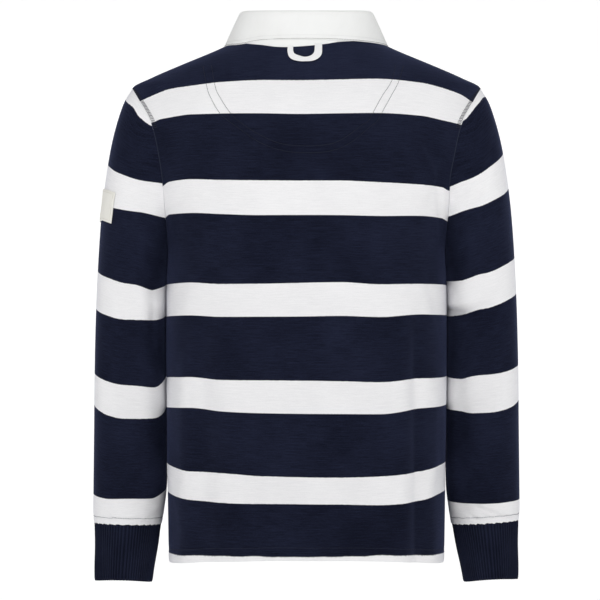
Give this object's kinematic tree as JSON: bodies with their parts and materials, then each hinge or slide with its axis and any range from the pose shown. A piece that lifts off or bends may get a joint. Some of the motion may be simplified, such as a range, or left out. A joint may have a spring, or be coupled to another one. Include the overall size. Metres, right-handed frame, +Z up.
{
  "type": "long-sleeved rugby shirt, worn form",
  "caption": "Long-sleeved striped rugby shirt in its hollow worn form, with a turned-down collar, hanger loop, buttoned placket and ribbed cuffs.",
  "frame": {"origin": "middle of the neck opening, level with the high point of the shoulders, where the wearer carries the shirt", "axes": "+Z up, the shirt's back faces -Y and its front +Y, the wearer's left is at -X"},
  "size_m": [0.5822, 0.2487, 0.7718],
  "materials": {
    "striped_jersey": "heavy cotton jersey, navy with broad white stripes",
    "rib_knit": "navy rib knit",
    "collar_twill": "white cotton twill",
    "label_cloth": "cream woven label cloth, bare",
    "button": "off-white rubber"
  },
  "bodies": {
    "root": {"back_panel": "striped_jersey", "front_panel": "striped_jersey", "sleeve_left": "striped_jersey", "sleeve_right": "striped_jersey", "cuff_left": "rib_knit", "cuff_right": "rib_knit", "collar_stand": "collar_twill", "collar_fall": "collar_twill", "hanger_loop": "collar_twill", "sleeve_label": "label_cloth", "placket": "collar_twill", "button_1": "button", "button_2": "button", "button_3": "button"}
  },
  "joints": []
}
